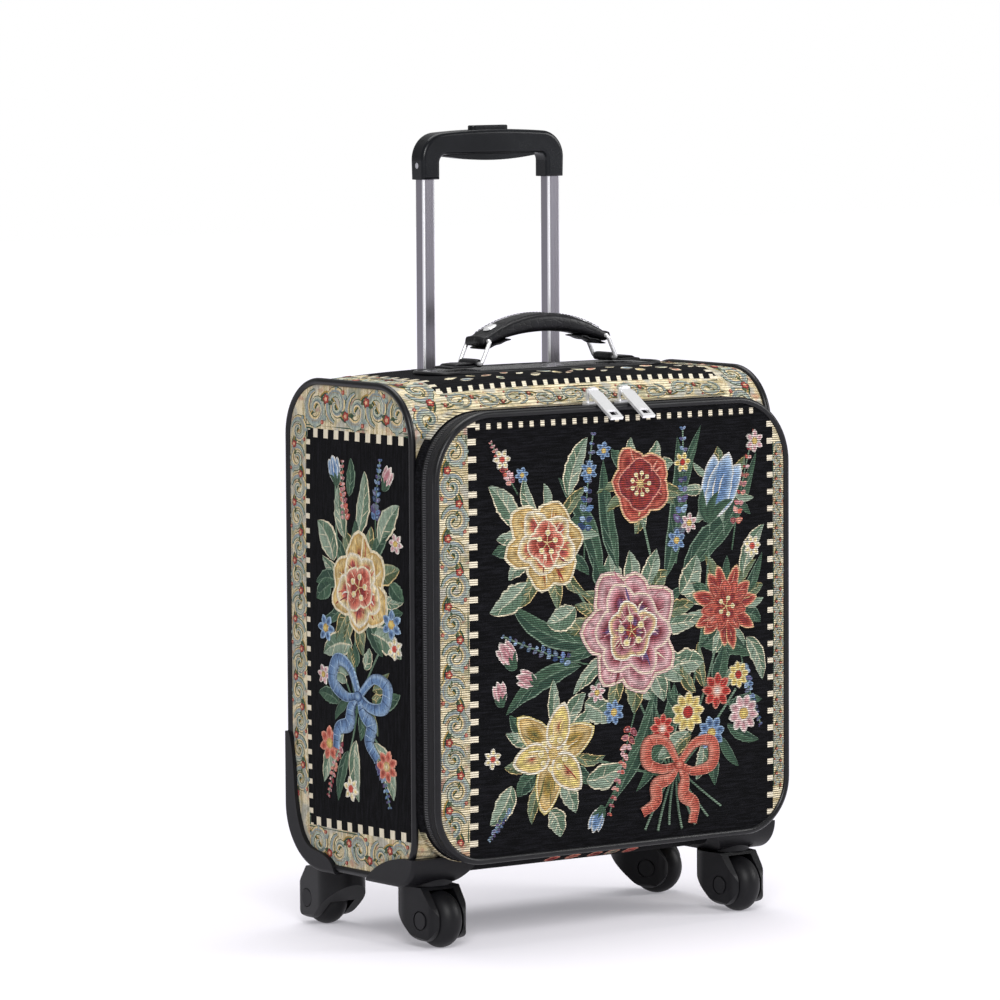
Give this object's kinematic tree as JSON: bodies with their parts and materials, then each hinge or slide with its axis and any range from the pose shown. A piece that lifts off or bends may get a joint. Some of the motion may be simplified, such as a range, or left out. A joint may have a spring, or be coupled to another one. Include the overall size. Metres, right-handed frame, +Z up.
{
  "type": "carry-on suitcase",
  "caption": "Soft-sided cabin suitcase with a telescopic trolley handle, arched carry handle, zipped front lid, corner guards and swivelling casters.",
  "frame": {"origin": "on the floor, under the middle of the whole object's box", "axes": "+Z up, +X to the right seen from the front, +Y from the front to the back"},
  "size_m": [0.389, 0.248, 0.6825],
  "materials": {
    "tapestry": "woven tapestry, matte, with flowers on black and a pale scroll border",
    "board": "plain moulded board",
    "lining": "plain lining cloth",
    "piping": "glossy coated cord piping",
    "webbing": "ribbed black tape",
    "leather": "glossy puckered leather",
    "chrome": "polished",
    "tube": "satin anodised",
    "grip": "gloss black",
    "guard": "fine-textured matte black",
    "steel": "plain bright",
    "caster": "satin black",
    "wheel": "matte black",
    "axle": "satin black cap"
  },
  "bodies": {
    "case": {"board_shell": "board", "left_end_board": "board", "right_end_board": "board", "wrap_panel": "tapestry", "left_end_panel": "tapestry", "right_end_panel": "tapestry", "left_end_piping": "piping", "right_end_piping": "piping", "front_rim": "tapestry", "case_zip_half": "webbing", "hinge_tape": "webbing", "back_lining": "lining", "left_rear_guard": "guard", "right_rear_guard": "guard", "left_front_guard": "guard", "right_front_guard": "guard", "caster_bushes": "steel", "handle_plate": "leather", "left_handle_tab": "leather", "right_handle_tab": "leather", "tube_collars": "guard", "left_outer_tube": "tube", "right_outer_tube": "tube", "tube_foot": "board"},
    "trolley": {"left_inner_tube": "tube", "right_inner_tube": "tube", "tube_glides": "guard", "grip_housing": "grip", "grip_pad": "grip", "grip_screws": "steel"},
    "release": {"release_button": "grip", "push_rods": "steel"},
    "lock": {"lock_pins": "steel"},
    "left_ring": {"left_handle_ring": "chrome"},
    "right_ring": {"right_handle_ring": "chrome"},
    "strap": {"carry_strap": "leather", "strap_rivets": "chrome"},
    "lid": {"lid_panel": "tapestry", "lid_gusset": "webbing", "lid_piping": "piping", "lid_zip_half": "webbing", "lid_lining": "lining"},
    "left_slider": {"left_zip_slider": "chrome"},
    "right_slider": {"right_zip_slider": "chrome"},
    "left_pull": {"left_zip_pull": "chrome"},
    "right_pull": {"right_zip_pull": "chrome"},
    "front_left_caster": {"front_left_fork": "caster", "front_left_axle": "axle"},
    "front_left_roller": {"front_left_wheel": "wheel"},
    "front_right_caster": {"front_right_fork": "caster", "front_right_axle": "axle"},
    "front_right_roller": {"front_right_wheel": "wheel"},
    "rear_left_caster": {"rear_left_fork": "caster", "rear_left_axle": "axle"},
    "rear_left_roller": {"rear_left_wheel": "wheel"},
    "rear_right_caster": {"rear_right_fork": "caster", "rear_right_axle": "axle"},
    "rear_right_roller": {"rear_right_wheel": "wheel"}
  },
  "joints": [
    {"name": "trolley_slide", "type": "slide", "parent": "case", "child": "trolley", "axis": [0, 0, 1], "range_m": [-0.15, 0.17]},
    {"name": "release_press", "type": "slide", "parent": "trolley", "child": "release", "axis": [0, 0, -1], "range_m": [0, 0.004], "stiffness_N_per_m": 1500, "springref_m": -0.002},
    {"name": "lock_slide", "type": "slide", "parent": "trolley", "child": "lock", "axis": [0, 1, 0], "range_m": [0, 0.002]},
    {"name": "left_ring_hinge", "type": "hinge", "parent": "case", "child": "left_ring", "pos_m": [-0.072, 0.00502, 0.48301], "axis": [0, 1, 0], "range_deg": [-10, 10]},
    {"name": "strap_hinge", "type": "hinge", "parent": "left_ring", "child": "strap", "pos_m": [-0.06279, 0.00502, 0.50189], "axis": [0, 1, 0], "range_deg": [-12, 12]},
    {"name": "right_ring_hinge", "type": "hinge", "parent": "case", "child": "right_ring", "pos_m": [0.072, 0.00502, 0.48301], "axis": [0, 1, 0], "range_deg": [-10, 10]},
    {"name": "lid_hinge", "type": "hinge", "parent": "case", "child": "lid", "pos_m": [0, -0.08698, 0.073], "axis": [1, 0, 0], "range_deg": [0, 90]},
    {"name": "left_slider_slide", "type": "slide", "parent": "lid", "child": "left_slider", "axis": [1, 0, 0], "range_m": [-0.1105, 0.008]},
    {"name": "left_pull_hinge", "type": "hinge", "parent": "left_slider", "child": "left_pull", "pos_m": [-0.014, -0.08898, 0.4625], "axis": [1, 0, 0], "range_deg": [-100, 0]},
    {"name": "right_slider_slide", "type": "slide", "parent": "lid", "child": "right_slider", "axis": [1, 0, 0], "range_m": [-0.008, 0.1045]},
    {"name": "right_pull_hinge", "type": "hinge", "parent": "right_slider", "child": "right_pull", "pos_m": [0.02, -0.08898, 0.4625], "axis": [1, 0, 0], "range_deg": [-100, 0]},
    {"name": "front_left_swivel", "type": "hinge", "parent": "case", "child": "front_left_caster", "pos_m": [-0.16, -0.04498, 0.0516], "axis": [0, 0, 1], "continuous": true},
    {"name": "front_left_spin", "type": "hinge", "parent": "front_left_caster", "child": "front_left_roller", "pos_m": [-0.16, -0.06598, 0.024], "axis": [-1, 0, 0], "continuous": true},
    {"name": "front_right_swivel", "type": "hinge", "parent": "case", "child": "front_right_caster", "pos_m": [0.16, -0.04498, 0.0516], "axis": [0, 0, 1], "continuous": true},
    {"name": "front_right_spin", "type": "hinge", "parent": "front_right_caster", "child": "front_right_roller", "pos_m": [0.16, -0.06598, 0.024], "axis": [-1, 0, 0], "continuous": true},
    {"name": "rear_left_swivel", "type": "hinge", "parent": "case", "child": "rear_left_caster", "pos_m": [-0.16, 0.07902, 0.0516], "axis": [0, 0, 1], "continuous": true},
    {"name": "rear_left_spin", "type": "hinge", "parent": "rear_left_caster", "child": "rear_left_roller", "pos_m": [-0.16, 0.10002, 0.024], "axis": [1, 0, 0], "continuous": true},
    {"name": "rear_right_swivel", "type": "hinge", "parent": "case", "child": "rear_right_caster", "pos_m": [0.16, 0.07902, 0.0516], "axis": [0, 0, 1], "continuous": true},
    {"name": "rear_right_spin", "type": "hinge", "parent": "rear_right_caster", "child": "rear_right_roller", "pos_m": [0.16921, 0.06014, 0.024], "axis": [-0.8988, -0.4384, 0], "continuous": true}
  ],
  "couplings": [
    {"joint": "lock_slide", "follows": "release_press", "ratio": 0.5},
    {"joint": "strap_hinge", "follows": "left_ring_hinge", "ratio": -1.1466},
    {"joint": "right_ring_hinge", "follows": "left_ring_hinge", "ratio": 1}
  ]
}
